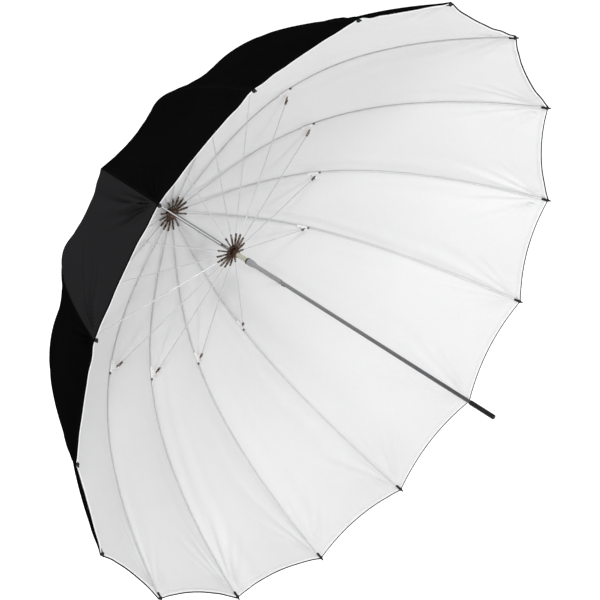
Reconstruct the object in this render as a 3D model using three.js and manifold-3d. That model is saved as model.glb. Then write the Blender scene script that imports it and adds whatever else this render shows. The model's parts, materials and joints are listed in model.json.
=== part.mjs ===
// Deep umbrella reflector: sixteen curved ribs, a two-layer canopy, a folding stretcher frame and a shaft.
// Millimetres. The shaft lies along Y: the hub is towards +Y and the open mouth and the grip are towards -Y.
// The origin is on the shaft's axis at the middle of the stretch that a stand bracket clamps.
import * as THREE from 'three';
import * as BufferGeometryUtils from 'three/addons/utils/BufferGeometryUtils.js';
import Module from 'manifold-3d';

const wasm = await Module();
wasm.setup();

// Driving dimensions of the whole reflector
const RIB_COUNT = 16;
const RIM_RADIUS = 673; // axis to a rib's tip
const CANOPY_DEPTH = 504; // rim plane to the ribs' pivots
const RIM_Y = 325; // the rim plane, measured from the grip
const HUB_Y = RIM_Y + CANOPY_DEPTH;
const PIVOT_RADIUS = 12.5; // radius of the two pivot wires
const FIRST_RIB_ANGLE = 64; // degrees from +X towards +Z
const PITCH = 360 / RIB_COUNT;

// The rib's curve: depth falls off with a small linear share and a steep power
const LINEAR_SHARE = 0.1485;
const CURVE_POWER = 3.38;
const RIB_STEPS = 10;

// Shaft
const SHAFT_RADIUS = 4;
const SHAFT_BORE_RADIUS = 3.2;
const SHAFT_LOW_Y = -99.2;
const SHAFT_HIGH_Y = HUB_Y + 26;
const ROUND = 16; // sides of a turned piece
const RING_SIDES = 32; // sides of a slotted ring, two to each slot
const GAP = 0.3; // clearance between neighbouring pieces
const CUT_OVER = 2; // how far a cutting shape stands out of what it cuts
const END_CAP_RADIUS = 5;
const END_CAP_LENGTH = 61.5;
const END_CAP_WALL = 2; // solid end below the shaft
const END_CAP_ROUND = 2.4;

// Ribs, stretchers and their joint
const ROD_RADIUS = 1.5;
const ROD_SIDES = 5;
const JOINT_RADIUS = 345; // axis to the stretcher's pivot on the rib
const JOINT_Y = HUB_Y - 98;
const RUNNER_Y = 2 * JOINT_Y - HUB_Y; // equal arms put the runner as far below the joint as the hub is above
const STRETCHER_RADIUS = 1.3;
const BLADE_THICKNESS = 2;
const BLADE_HEIGHT = 5;
const BLADE_REACH = 38; // axis to the blade's outer end
const EYE_RADIUS = 2.4;
const EYE_HOLE_RADIUS = 1;
const OPEN_END = 1.5; // the stretcher's blade stops this far short of the wire's centre
const ROD_LAP = 12; // how far a rod runs along inside its blade
const ROD_BITE = 1; // how far the stretcher's rod runs into its fork

// Clip that joins a stretcher to its rib
const CLIP_THICKNESS = 2.4;
const CLIP_LENGTH = 26;
const CLIP_DEPTH = 2.8; // below the rib's curve at the clip's two ends
const CLIP_SHIFT = 0.01; // share of the curve from the cross pin to the clip's middle
const BOSS_RADIUS = 3.4;
const PIN_RADIUS = 1;
const PIN_LENGTH = 6.4;
const PIN_CLEARANCE = 0.5;
const FORK_GAP = 3.2;
const FORK_CHEEK = 1;
const FORK_REACH = 11;
const BRIDGE_START = 5.2;

// Tip cap
const CAP_RADIUS = 3.5;
const CAP_LENGTH = 14;
const CAP_SIDES = 6;
const CAP_TAPER = 2;
const NIPPLE_RADIUS = 1.2;
const NIPPLE_LENGTH = 5;

// Canopy
const FABRIC_THICKNESS = 1;
const FABRIC_OFFSET = 2.3; // rib centreline to the fabric's inner face
const HUB_LIFT = 12; // how much further the fabric stands off at the axis
const LIFT_DECAY = 90; // radius over which that falls away
const APEX_RADIUS = 5.6;
const SEAM_GAP = 0.5; // between neighbouring panels
const GORE_SINK = 9; // how far the middle of a gore draws in
const SINK_RISE = 3; // the sink is full from a third of the way out
const HEM_BOW = 0.006; // how far the hem draws back between two tips, as a share of the curve
const HEM_START = 0.995; // share of the curve where the fabric ends at a rib, just short of the cap
const PANEL_COLUMNS = 4;

// Slotted rings
const RING_RADIUS = 15.5;
const RING_HALF_LENGTH = 3.5;
const SLOT_FLOOR_RADIUS = 9.6;
const SLOT_WIDTH = 2.7;
const WIRE_RADIUS = 0.6;
const WIRE_SIDES = 5;
const GROOVE_HALF_WIDTH = 0.95;
const RING_BACK_RADIUS = 8.2; // the plain collar behind the slots
const NOTCH_BACK_LENGTH = 8;
const CROWN_BACK_LENGTH = 2;

// Rosette that covers the panels' inner ends, and the finial over it
const ROSETTE_RADIUS = 20.6;
const ROSETTE_HEIGHT = 2.6;
const ROSETTE_SHOULDER = 8;
const FINIAL_SEAT = 4; // above the fabric's outer face
const FINIAL_FLANGE = 7.5;
const FINIAL_FLANGE_LENGTH = 3;
const FINIAL_RADIUS = 5.4;
const FINIAL_OVER_SHAFT = 12;

// Runner, measured from its ring towards the shaft's free end
const NECK_RADIUS = 5.4;
const NECK_END = 44;
const BAND_RADIUS = 7.5;
const BAND_LENGTH = 3.6;
const COLLAR_RADIUS = 7.6;
const COLLAR_END = 74;
const COLLAR_CONE = 14;
const COLLAR_TAPER = 0.8; // from the collar's rim to the top of its cone
const COLLAR_RIM = 4;
const SLEEVE_RADIUS = 5.3;
const SLEEVE_END = 147;
const SLEEVE_BORE_RADIUS = 4.35;

// Spring catch that stops the open runner
const CATCH_LENGTH = 20;
const CATCH_TOP_RADIUS = 7.6;
const CATCH_THICKNESS = 1.2;
const CATCH_SLOT_WIDTH = 2;
const CATCH_FLOOR_RADIUS = 1;
const CATCH_SHOULDER = 3;

const finishes = {
  shaftSteel: { color: 0x8f9193, roughness: 0.35, metalness: 0.9 },
  blackPlastic: { color: 0x151515, roughness: 0.5, metalness: 0 },
  bronzeMetal: { color: 0x4a3a30, roughness: 0.45, metalness: 0.8 },
  springSteel: { color: 0x77787a, roughness: 0.35, metalness: 0.9 },
  paleNylon: { color: 0xb9b8a4, roughness: 0.5, metalness: 0 },
  greySleeve: { color: 0x8d8d90, roughness: 0.4, metalness: 0.6 },
  ribSteel: { color: 0xc9c9c9, roughness: 0.4, metalness: 0.3 },
  stretcherSteel: { color: 0xbababa, roughness: 0.35, metalness: 0.7 },
  canopyFabric: { color: 0xe6e6e6, roughness: 0.85, metalness: 0 },
};

const radians = THREE.MathUtils.degToRad;
const reflector = new THREE.Group();

function addPart(name, geometry, finish, turnDegrees = 0) {
  const mesh = new THREE.Mesh(geometry, new THREE.MeshStandardMaterial(finishes[finish]));
  mesh.name = name;
  mesh.rotation.y = -radians(turnDegrees);
  reflector.add(mesh);
}

function solid(geometry) {
  const bare = geometry.clone();
  bare.deleteAttribute('normal');
  bare.deleteAttribute('uv');
  const merged = BufferGeometryUtils.mergeVertices(bare, 1e-4);
  const mesh = new wasm.Mesh({
    numProp: 3,
    vertProperties: new Float32Array(merged.attributes.position.array),
    triVerts: new Uint32Array(merged.index.array),
  });
  return new wasm.Manifold(mesh);
}

function geometryOf(manifold) {
  const mesh = manifold.getMesh();
  const geometry = new THREE.BufferGeometry();
  geometry.setAttribute('position', new THREE.BufferAttribute(mesh.vertProperties, 3));
  geometry.setIndex(new THREE.BufferAttribute(mesh.triVerts, 1));
  return geometry;
}

function join(...geometries) {
  return geometries.map(solid).reduce((whole, next) => whole.add(next));
}

// A ring or plug turned about the shaft: pairs of radius and Y that close on themselves
function turned(outline, sides = ROUND) {
  const closed = [...outline, outline[0]].map(([radius, y]) => new THREE.Vector2(radius, y));
  return new THREE.LatheGeometry(closed, sides);
}

function tube(inner, outer, low, high, sides = ROUND) {
  return turned([[inner, low], [outer, low], [outer, high], [inner, high]], sides);
}

// A flat plate in the rib's own plane, X outwards and Y along the shaft, centred on the plane
function plate(outline, thickness, holes = []) {
  const shape = new THREE.Shape(outline);
  for (const hole of holes) shape.holes.push(new THREE.Path(hole));
  const geometry = new THREE.ExtrudeGeometry(shape, { depth: thickness, bevelEnabled: false });
  geometry.translate(0, 0, -thickness / 2);
  return geometry;
}

function circlePoints(x, y, radius, sides, start = 0, sweep = 2 * Math.PI) {
  const steps = sweep < 2 * Math.PI ? sides : sides - 1;
  const points = [];
  for (let i = 0; i <= steps; i++) {
    const angle = start + (sweep * i) / sides;
    points.push(new THREE.Vector2(x + radius * Math.cos(angle), y + radius * Math.sin(angle)));
  }
  return points;
}

// The rib's curve at share t of its way out: place and outward normal in the rib's own plane
function ribPoint(t) {
  const span = RIM_RADIUS - PIVOT_RADIUS;
  const fall = LINEAR_SHARE * t + (1 - LINEAR_SHARE) * t ** CURVE_POWER;
  const steep = LINEAR_SHARE + (1 - LINEAR_SHARE) * CURVE_POWER * t ** (CURVE_POWER - 1);
  const slope = (-CANOPY_DEPTH * steep) / span;
  return {
    place: new THREE.Vector2(PIVOT_RADIUS + span * t, HUB_Y - CANOPY_DEPTH * fall),
    normal: new THREE.Vector2(-slope, 1).normalize(),
  };
}

// A many-sided rod swept through places in the rib's own plane
function rod(places, radius, sides = ROD_SIDES) {
  const rings = places.map(({ place, normal }) => {
    const ring = [];
    for (let k = 0; k < sides; k++) {
      const angle = (2 * Math.PI * (k + 0.5)) / sides;
      const out = radius * Math.cos(angle);
      ring.push([place.x + normal.x * out, place.y + normal.y * out, radius * Math.sin(angle)]);
    }
    return ring;
  });
  return stitched(rings);
}

// A closed skin over rings of equally many points, with a zigzag of triangles across each end
function stitched(rings) {
  const count = rings[0].length;
  const vertices = rings.flat(2);
  const faces = [];
  for (let i = 0; i + 1 < rings.length; i++) {
    for (let k = 0; k < count; k++) {
      const a = i * count + k;
      const b = i * count + ((k + 1) % count);
      faces.push(a, b, a + count, b, b + count, a + count);
    }
  }
  const last = (rings.length - 1) * count;
  for (let low = 0, high = count - 1; low + 1 < high; low++, high--) {
    faces.push(low, high, low + 1, last + low, last + low + 1, last + high);
    if (low + 2 === high) break;
    faces.push(low + 1, high, high - 1, last + low + 1, last + high - 1, last + high);
  }
  const geometry = new THREE.BufferGeometry();
  geometry.setAttribute('position', new THREE.Float32BufferAttribute(vertices, 3));
  geometry.setIndex(faces);
  return geometry;
}

// A small turned piece whose own axis runs from a place along a direction in the rib's plane
function turnedAlong(profile, place, direction, sides) {
  const geometry = new THREE.LatheGeometry(
    profile.map(([radius, along]) => new THREE.Vector2(radius, along)), sides);
  geometry.rotateZ(Math.atan2(direction.y, direction.x) - Math.PI / 2);
  geometry.translate(place.x, place.y, 0);
  return geometry;
}

function crossPin(x, y, radius, length, sides) {
  const geometry = new THREE.CylinderGeometry(radius, radius, length, sides);
  geometry.rotateX(Math.PI / 2);
  geometry.translate(x, y, 0);
  return geometry;
}

function ribRod() {
  const first = (BLADE_REACH - ROD_LAP - PIVOT_RADIUS) / (RIM_RADIUS - PIVOT_RADIUS);
  const places = [];
  for (let i = 0; i <= RIB_STEPS; i++) places.push(ribPoint(Math.max(first, i / RIB_STEPS)));
  return rod(places, ROD_RADIUS);
}

function ribBlade() {
  const slope = -Math.atan2(ribPoint(0).normal.x, ribPoint(0).normal.y);
  const outline = [
    ...circlePoints(0, 0, EYE_RADIUS, 6, Math.PI / 2, Math.PI),
    new THREE.Vector2(BLADE_REACH - PIVOT_RADIUS, -BLADE_HEIGHT / 2),
    new THREE.Vector2(BLADE_REACH - PIVOT_RADIUS, BLADE_HEIGHT / 2),
  ];
  const blade = plate(outline, BLADE_THICKNESS, [circlePoints(0, 0, EYE_HOLE_RADIUS, 6)]);
  blade.rotateZ(slope);
  blade.translate(PIVOT_RADIUS, HUB_Y, 0);
  return blade;
}

// The clip: a wedge standing in from the rib to a round boss with a cross pin
function ribClip() {
  const middle = (JOINT_RADIUS - PIVOT_RADIUS) / (RIM_RADIUS - PIVOT_RADIUS);
  const { place, normal } = ribPoint(middle + CLIP_SHIFT);
  const along = new THREE.Vector2(normal.y, -normal.x);
  const corner = (step, lift) => new THREE.Vector2(
    place.x + along.x * step + normal.x * lift, place.y + along.y * step + normal.y * lift);
  const facing = Math.atan2(-normal.y, -normal.x);
  const outline = [
    corner(CLIP_LENGTH / 2, -CLIP_DEPTH),
    corner(CLIP_LENGTH / 2, 0),
    corner(-CLIP_LENGTH / 2, 0),
    corner(-CLIP_LENGTH / 2, -CLIP_DEPTH),
    ...circlePoints(JOINT_RADIUS, JOINT_Y, BOSS_RADIUS, 6, facing - Math.PI / 2, Math.PI),
  ];
  const pin = crossPin(JOINT_RADIUS, JOINT_Y, PIN_RADIUS, PIN_LENGTH, 6);
  return [plate(outline.reverse(), CLIP_THICKNESS), pin];
}

function tipCap() {
  const { place, normal } = ribPoint(1);
  const along = new THREE.Vector2(normal.y, -normal.x);
  const end = CAP_LENGTH / 2;
  const profile = [
    [0, -end], [CAP_RADIUS, -end], [CAP_RADIUS, end - CAP_TAPER], [NIPPLE_RADIUS, end],
    [NIPPLE_RADIUS, end + NIPPLE_LENGTH], [0, end + NIPPLE_LENGTH],
  ];
  return turnedAlong(profile, place, along, CAP_SIDES);
}

function rib() {
  return geometryOf(join(ribRod(), ribBlade(), ...ribClip(), tipCap()));
}

// The stretcher lies on the line from the rib's clip to the runner's ring: a fork, a rod and a flat blade
function stretcher() {
  const reach = Math.hypot(JOINT_RADIUS - PIVOT_RADIUS, JOINT_Y - RUNNER_Y);
  const slope = Math.atan2(JOINT_Y - RUNNER_Y, JOINT_RADIUS - PIVOT_RADIUS);
  const bladeEnd = BLADE_REACH - PIVOT_RADIUS;
  const blade = plate([
    new THREE.Vector2(OPEN_END, -BLADE_HEIGHT / 2),
    new THREE.Vector2(bladeEnd, -BLADE_HEIGHT / 2),
    new THREE.Vector2(bladeEnd, BLADE_HEIGHT / 2),
    new THREE.Vector2(OPEN_END, BLADE_HEIGHT / 2),
  ], BLADE_THICKNESS);
  const ends = [bladeEnd - ROD_LAP, reach - BRIDGE_START - ROD_BITE].map((x) => (
    { place: new THREE.Vector2(x, 0), normal: new THREE.Vector2(0, 1) }));
  const fork = solid(plate([
    new THREE.Vector2(reach - FORK_REACH, -BLADE_HEIGHT / 2),
    ...circlePoints(reach, 0, BLADE_HEIGHT / 2, 6, -Math.PI / 2, Math.PI),
    new THREE.Vector2(reach - FORK_REACH, BLADE_HEIGHT / 2),
  ], FORK_GAP + 2 * FORK_CHEEK, [circlePoints(reach, 0, PIN_RADIUS + PIN_CLEARANCE, 6)]));
  const mouth = new THREE.BoxGeometry(2 * BRIDGE_START, BLADE_HEIGHT + CUT_OVER, FORK_GAP);
  mouth.translate(reach, 0, 0);
  const whole = join(blade, rod(ends, STRETCHER_RADIUS)).add(fork.subtract(solid(mouth)));
  const geometry = geometryOf(whole);
  geometry.rotateZ(slope);
  geometry.translate(PIVOT_RADIUS, RUNNER_Y, 0);
  return geometry;
}

// The fabric's inner face along the rib, at share t of the way out
function fabricPoint(t, extra) {
  const { place, normal } = ribPoint(t);
  const offset = FABRIC_OFFSET + HUB_LIFT * Math.exp(-place.x / LIFT_DECAY) + extra;
  return new THREE.Vector2(place.x + normal.x * offset, place.y + normal.y * offset);
}

// One panel: the canopy from the middle of one gore, over a rib, to the middle of the next
function canopyPanel() {
  const half = radians(PITCH / 2);
  const apexShare = (APEX_RADIUS - PIVOT_RADIUS) / (RIM_RADIUS - PIVOT_RADIUS);
  const skinPoint = (column, step, extra) => {
    const side = column / (PANEL_COLUMNS / 2) - 1;
    const share = Math.abs(side);
    const drawn = share * (2 - share);
    const hem = HEM_START - HEM_BOW * drawn;
    const t = step === 0 ? apexShare : Math.min(step / RIB_STEPS, hem);
    const { normal } = ribPoint(Math.max(t, 0));
    const place = fabricPoint(Math.max(t, 0), extra);
    if (t < 0) place.x += t * (RIM_RADIUS - PIVOT_RADIUS);
    const sink = GORE_SINK * drawn * Math.min(1, Math.max(t, 0) * SINK_RISE);
    const away = half * side;
    const chord = Math.cos(half) / Math.cos(half - Math.abs(away));
    const radius = place.x * chord - normal.x * sink;
    const y = place.y - normal.y * sink;
    const edge = share === 1 ? (Math.sign(side) * SEAM_GAP) / 2 : 0;
    return [radius * Math.cos(away) + Math.abs(edge) * Math.sin(half),
      y, radius * Math.sin(away) - edge * Math.cos(half)];
  };
  const rings = [];
  for (let step = 0; step <= RIB_STEPS; step++) {
    const ring = [];
    for (let c = PANEL_COLUMNS; c >= 0; c--) ring.push(skinPoint(c, step, 0));
    for (let c = 0; c <= PANEL_COLUMNS; c++) ring.push(skinPoint(c, step, FABRIC_THICKNESS));
    rings.push(ring);
  }
  return stitched(rings);
}

// A ring with a slot for every blade and a groove, open towards the hub side, for its wire
function slottedRing(y, backLength) {
  const low = y - RING_HALF_LENGTH;
  const high = y + RING_HALF_LENGTH;
  const body = solid(tube(SHAFT_RADIUS + GAP, RING_RADIUS, low, high, RING_SIDES));
  const slotLength = RING_RADIUS + CUT_OVER - SLOT_FLOOR_RADIUS;
  const groove = tube(PIVOT_RADIUS - GROOVE_HALF_WIDTH, PIVOT_RADIUS + GROOVE_HALF_WIDTH,
    y - GROOVE_HALF_WIDTH, high + CUT_OVER, RING_SIDES);
  let cut = body.subtract(solid(groove));
  for (let i = 0; i < RIB_COUNT; i++) {
    const slot = new THREE.BoxGeometry(slotLength, high - low + CUT_OVER, SLOT_WIDTH);
    slot.translate(SLOT_FLOOR_RADIUS + slotLength / 2, y, 0);
    slot.rotateY(-radians(FIRST_RIB_ANGLE + i * PITCH));
    cut = cut.subtract(solid(slot));
  }
  const back = tube(SHAFT_RADIUS + GAP, RING_BACK_RADIUS, y, high + backLength);
  return geometryOf(cut.add(solid(back)));
}

function pivotWire(y) {
  const wire = new THREE.TorusGeometry(PIVOT_RADIUS, WIRE_RADIUS, WIRE_SIDES, RING_SIDES);
  wire.rotateX(Math.PI / 2);
  wire.translate(0, y, 0);
  return wire;
}

function shaftTube() {
  const body = solid(tube(SHAFT_BORE_RADIUS, SHAFT_RADIUS, SHAFT_LOW_Y, SHAFT_HIGH_Y));
  const depth = SHAFT_RADIUS + CUT_OVER - CATCH_FLOOR_RADIUS;
  const slot = new THREE.BoxGeometry(CATCH_SLOT_WIDTH, CATCH_LENGTH + 2 * CUT_OVER, depth);
  slot.translate(0, RUNNER_Y - SLEEVE_END - CATCH_LENGTH / 2, -CATCH_FLOOR_RADIUS - depth / 2);
  return geometryOf(body.subtract(solid(slot)));
}

function latheOf(profile) {
  return new THREE.LatheGeometry(profile.map(([radius, y]) => new THREE.Vector2(radius, y)), ROUND);
}

function shaftEndCap() {
  const inner = SHAFT_RADIUS + GAP;
  const floor = SHAFT_LOW_Y - GAP;
  const low = floor - END_CAP_WALL;
  const high = low + END_CAP_LENGTH;
  return latheOf([
    [0, low], [END_CAP_RADIUS - END_CAP_ROUND / 2, low], [END_CAP_RADIUS, low + END_CAP_ROUND],
    [END_CAP_RADIUS, high], [inner, high], [inner, floor], [0, floor],
  ]);
}

// The round rosette that covers the panels' inner ends
function canopyRosette() {
  const face = HUB_Y + FABRIC_OFFSET + HUB_LIFT + FABRIC_THICKNESS + GAP;
  const top = face + ROSETTE_HEIGHT;
  return turned([
    [SHAFT_RADIUS + GAP, face], [ROSETTE_RADIUS, face],
    [ROSETTE_RADIUS - ROSETTE_HEIGHT, top - ROSETTE_HEIGHT / 2],
    [ROSETTE_SHOULDER, top], [SHAFT_RADIUS + GAP, top],
  ]);
}

// The blind cap nut that closes the shaft over the rosette
function finial() {
  const low = HUB_Y + FABRIC_OFFSET + HUB_LIFT + FABRIC_THICKNESS + FINIAL_SEAT;
  const high = SHAFT_HIGH_Y + FINIAL_OVER_SHAFT;
  const flange = low + FINIAL_FLANGE_LENGTH;
  return latheOf([
    [SHAFT_RADIUS + GAP, low], [FINIAL_FLANGE, low], [FINIAL_FLANGE, flange],
    [FINIAL_RADIUS, flange], [FINIAL_RADIUS, high], [0, high],
    [0, SHAFT_HIGH_Y + GAP], [SHAFT_RADIUS + GAP, SHAFT_HIGH_Y + GAP], [SHAFT_RADIUS + GAP, low],
  ]);
}

function runnerNeck() {
  const high = RUNNER_Y - RING_HALF_LENGTH - GAP;
  return tube(SHAFT_RADIUS + GAP, NECK_RADIUS, RUNNER_Y - NECK_END, high);
}

function runnerBand() {
  const high = RUNNER_Y - NECK_END - GAP;
  return tube(SLEEVE_BORE_RADIUS, BAND_RADIUS, high - BAND_LENGTH, high);
}

function runnerSleeve() {
  const high = RUNNER_Y - NECK_END - BAND_LENGTH - 2 * GAP;
  const end = RUNNER_Y - SLEEVE_END;
  const flare = RUNNER_Y - COLLAR_END;
  return turned([[SLEEVE_BORE_RADIUS, end], [SLEEVE_RADIUS, end], [SLEEVE_RADIUS, flare],
    [COLLAR_RADIUS - COLLAR_TAPER, flare + COLLAR_CONE], [COLLAR_RADIUS, high - COLLAR_RIM],
    [COLLAR_RADIUS, high], [SLEEVE_BORE_RADIUS, high]]);
}

// A leaf with a square shoulder against the sleeve's end and a long ramp the other way, below the shaft
function openCatch() {
  const shoulder = RUNNER_Y - SLEEVE_END - GAP;
  const leaf = plate([
    new THREE.Vector2(CATCH_FLOOR_RADIUS, shoulder),
    new THREE.Vector2(CATCH_FLOOR_RADIUS, shoulder - CATCH_LENGTH),
    new THREE.Vector2(SHAFT_BORE_RADIUS, shoulder - CATCH_LENGTH),
    new THREE.Vector2(CATCH_TOP_RADIUS, shoulder - CATCH_SHOULDER),
    new THREE.Vector2(CATCH_TOP_RADIUS, shoulder),
  ].reverse(), CATCH_THICKNESS);
  leaf.rotateY(Math.PI / 2);
  return leaf;
}

function build() {
  addPart('shaft_tube', shaftTube(), 'shaftSteel');
  addPart('shaft_end_cap', shaftEndCap(), 'blackPlastic');
  addPart('open_catch', openCatch(), 'springSteel');
  addPart('top_notch', slottedRing(HUB_Y, NOTCH_BACK_LENGTH), 'bronzeMetal');
  addPart('top_notch_wire', pivotWire(HUB_Y), 'springSteel');
  addPart('canopy_rosette', canopyRosette(), 'blackPlastic');
  addPart('finial', finial(), 'blackPlastic');
  addPart('runner_crown', slottedRing(RUNNER_Y, CROWN_BACK_LENGTH), 'bronzeMetal');
  addPart('runner_wire', pivotWire(RUNNER_Y), 'springSteel');
  addPart('runner_neck', runnerNeck(), 'paleNylon');
  addPart('runner_band', runnerBand(), 'blackPlastic');
  addPart('runner_sleeve', runnerSleeve(), 'greySleeve');
  for (let i = 0; i < RIB_COUNT; i++) {
    const number = String(i + 1).padStart(2, '0');
    const turn = FIRST_RIB_ANGLE - i * PITCH;
    addPart(`rib_${number}`, rib(), 'ribSteel', turn);
    addPart(`stretcher_${number}`, stretcher(), 'stretcherSteel', turn);
    addPart(`canopy_panel_${number}`, canopyPanel(), 'canopyFabric', turn);
  }
}

build();
export default reflector;
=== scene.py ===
import json
import math
import random

import bmesh
import bpy
import numpy as np
from mathutils import Matrix, Vector


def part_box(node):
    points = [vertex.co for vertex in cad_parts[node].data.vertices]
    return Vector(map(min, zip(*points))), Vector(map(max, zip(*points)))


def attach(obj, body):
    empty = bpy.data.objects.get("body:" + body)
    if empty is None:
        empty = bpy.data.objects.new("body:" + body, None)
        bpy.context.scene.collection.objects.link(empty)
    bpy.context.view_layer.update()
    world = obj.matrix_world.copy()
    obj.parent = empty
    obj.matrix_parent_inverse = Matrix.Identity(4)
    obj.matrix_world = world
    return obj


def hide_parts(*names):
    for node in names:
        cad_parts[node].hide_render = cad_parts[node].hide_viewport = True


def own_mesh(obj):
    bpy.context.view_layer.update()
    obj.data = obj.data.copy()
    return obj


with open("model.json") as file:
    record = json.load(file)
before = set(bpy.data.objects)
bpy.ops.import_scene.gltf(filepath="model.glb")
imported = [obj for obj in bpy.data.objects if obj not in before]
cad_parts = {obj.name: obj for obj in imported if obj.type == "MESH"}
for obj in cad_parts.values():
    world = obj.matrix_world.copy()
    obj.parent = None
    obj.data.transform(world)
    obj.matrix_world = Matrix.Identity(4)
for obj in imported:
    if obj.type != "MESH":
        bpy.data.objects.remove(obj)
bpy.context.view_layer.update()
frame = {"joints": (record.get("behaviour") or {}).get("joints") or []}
MM = 0.001

# ---------------------------------------------------------------- sizes, in metres

RIBS = 16
HALF_GORE = math.pi / RIBS
joints = {joint["name"]: joint for joint in frame["joints"]}
HUB = Vector(joints["rib_01_fold"]["pos_m"])
CLIP = Vector(joints["stretcher_01_fold"]["pos_m"])
PIVOT_RADIUS = math.hypot(HUB.x, HUB.z)
HUB_Y = HUB.y
JOINT_RADIUS = math.hypot(CLIP.x, CLIP.z)
JOINT_Y = CLIP.y
RUNNER_Y = 2 * JOINT_Y - HUB_Y
RIM_RADIUS = 673 * MM
RIM_Y = 325 * MM
CANOPY_DEPTH = HUB_Y - RIM_Y

# The rib's curve, as in the frame: a small straight share and a steep power
LINEAR_SHARE = 0.1485
CURVE_POWER = 3.38

# Cloth
CLOTH_LIFT = 2.3 * MM  # rib centreline to the white cloth's inner face
HUB_LIFT = 12 * MM
LIFT_DECAY = 90 * MM
APEX_RADIUS = 5.6 * MM
GORE_SINK = 9.5 * MM  # how far the cloth pulls in half way between two ribs
HEM_SINK = 2.3 * MM  # the same at the hem
SINK_RISE = 3
SINK_FALLS_FROM = 0.74
HEM_START = 1.0036  # share of the curve where the cloth ends at a rib, by the middle of the tip's ball
HEM_BOW = 0.009  # how far the hem draws back between two tips, as a share of the curve
HEM_RISE_FROM = 0.7
TIP_LIFT = 0.8 * MM  # how far the cloth rides up over the tip's ball
TIP_LIFT_LENGTH = 16 * MM
TIP_LIFT_WIDTH = 9 * MM
TIP_PAST = 6.4 * MM  # the ball's middle, past the end of the rib's curve
HEM_FOLD = 9 * MM  # the turned-in edge
HEM_FOLD_RISE = 0.4 * MM
WHITE_THICKNESS = 0.45 * MM
BLACK_LIFT = 0.55 * MM  # the white cloth's inner face to the black cloth's
BLACK_THICKNESS = 0.45 * MM
CLOTH_COLUMNS = 60  # half as many to each half sector, except in the gore with the painted sheen
CLOTH_ROWS = 80
DEEP_FOLD_ROWS = 140
SHEEN_GORE_RIBS = (13, 14)  # the gore between these gets a painted sheen that makes its black less dark, and is pulled into deeper folds
TIE_SHARE = 0.80  # where each rib is tied to its seam
TIE_DEPTH = 0.7 * MM

# Folds at a tip: how many, their height in mm, the degrees they fan over, their least width in degrees,
# their least reach in metres, and how far from the tip they are full
SHALLOW_FOLDS = (6, 2.1, 45, 2.2, 0.12, 24 * MM)
DEEP_FOLDS = (8, 7.0, 36, 1.9, 0.17, 62 * MM)

ROUND = 48  # sides of a turned piece
BEVEL = 0.3 * MM


# ---------------------------------------------------------------- shapes

def rib_angle(number):
    """The direction of a rib from the shaft, in radians from +X towards +Z."""
    place = joints[f"rib_{number:02d}_fold"]["pos_m"]
    return math.atan2(place[2], place[0])


def rib_frame(number):
    """From a rib's own plane, X outwards and Y along the shaft, to the row frame."""
    c, s = math.cos(rib_angle(number)), math.sin(rib_angle(number))
    return Matrix(((c, 0, -s, 0), (0, 1, 0, 0), (s, 0, c, 0), (0, 0, 0, 1)))


def rib_point(t):
    """Place (radius, y) and outward normal of the rib's curve at share t of its way out."""
    span = RIM_RADIUS - PIVOT_RADIUS
    fall = LINEAR_SHARE * t + (1 - LINEAR_SHARE) * t**CURVE_POWER
    steep = LINEAR_SHARE + (1 - LINEAR_SHARE) * CURVE_POWER * t ** (CURVE_POWER - 1)
    place = Vector((PIVOT_RADIUS + span * t, HUB_Y - CANOPY_DEPTH * fall))
    normal = Vector((CANOPY_DEPTH * steep / span, 1)).normalized()
    return place, normal


def rib_lengths(steps=420):
    """The share t and the length along the curve at evenly stepped shares, to a little past the tip."""
    shares = np.linspace(0, 1.05, steps + 1)
    places = np.array([rib_point(t)[0] for t in shares])
    lengths = np.concatenate([[0], np.cumsum(np.linalg.norm(np.diff(places, axis=0), axis=1))])
    return shares, lengths


RIB_SHARES, RIB_LENGTHS = rib_lengths()


def smooth_step(low, high, value):
    share = min(1.0, max(0.0, (value - low) / (high - low)))
    return share * share * (3 - 2 * share)


def length_at(t):
    return float(np.interp(t, RIB_SHARES, RIB_LENGTHS))


def share_at(length):
    return float(np.interp(length, RIB_LENGTHS, RIB_SHARES))


TIP_LENGTH = length_at(1)
HEM_LENGTH = length_at(HEM_START)


def ring(centre, side, up, points):
    """A ring of 3-D points from 2-D ones: each (a, b) goes to centre + side*a + up*b."""
    return [centre + side * a + up * b for a, b in points]


def circle(radius, sides):
    return [
        (radius * math.cos(2 * math.pi * (k + 0.5) / sides),
         radius * math.sin(2 * math.pi * (k + 0.5) / sides))
        for k in range(sides)
    ]


def faces_round(pairs, sides):
    """Faces that join pairs of rings, given by their numbers, each of so many points."""
    return [(i * sides + k, i * sides + (k + 1) % sides, j * sides + (k + 1) % sides, j * sides + k)
            for i, j in pairs for k in range(sides)]


def skinned(rings, closed_ends=True):
    """Points and faces of a skin over equally long rings."""
    count = len(rings[0])
    points = [p for one in rings for p in one]
    faces = faces_round([(i, i + 1) for i in range(len(rings) - 1)], count)
    if closed_ends:
        faces.append(tuple(reversed(range(count))))
        faces.append(tuple(range((len(rings) - 1) * count, len(rings) * count)))
    return points, faces


def rod(places, radius, sides=12):
    """A round rod through (place, normal) pairs in the rib's plane."""
    out = Vector((0, 0, 1))
    return skinned([ring(Vector((p.x, p.y, 0)), Vector((n.x, n.y, 0)), out, circle(radius, sides))
                    for p, n in places])


def turned(profile, sides=ROUND, matrix=None):
    """A turned solid about Y from (radius, y) pairs, which start on the axis or close on themselves."""
    closed = profile[0][0] > 0
    points = []
    for radius, y in profile:
        for k in range(sides):
            angle = 2 * math.pi * k / sides
            points.append(Vector((radius * math.cos(angle), y, -radius * math.sin(angle))))
    last = len(profile) if closed else len(profile) - 1
    faces = faces_round([(i, (i + 1) % len(profile)) for i in range(last)], sides)
    if matrix is not None:
        points = [matrix @ p for p in points]
    return points, faces


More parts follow.
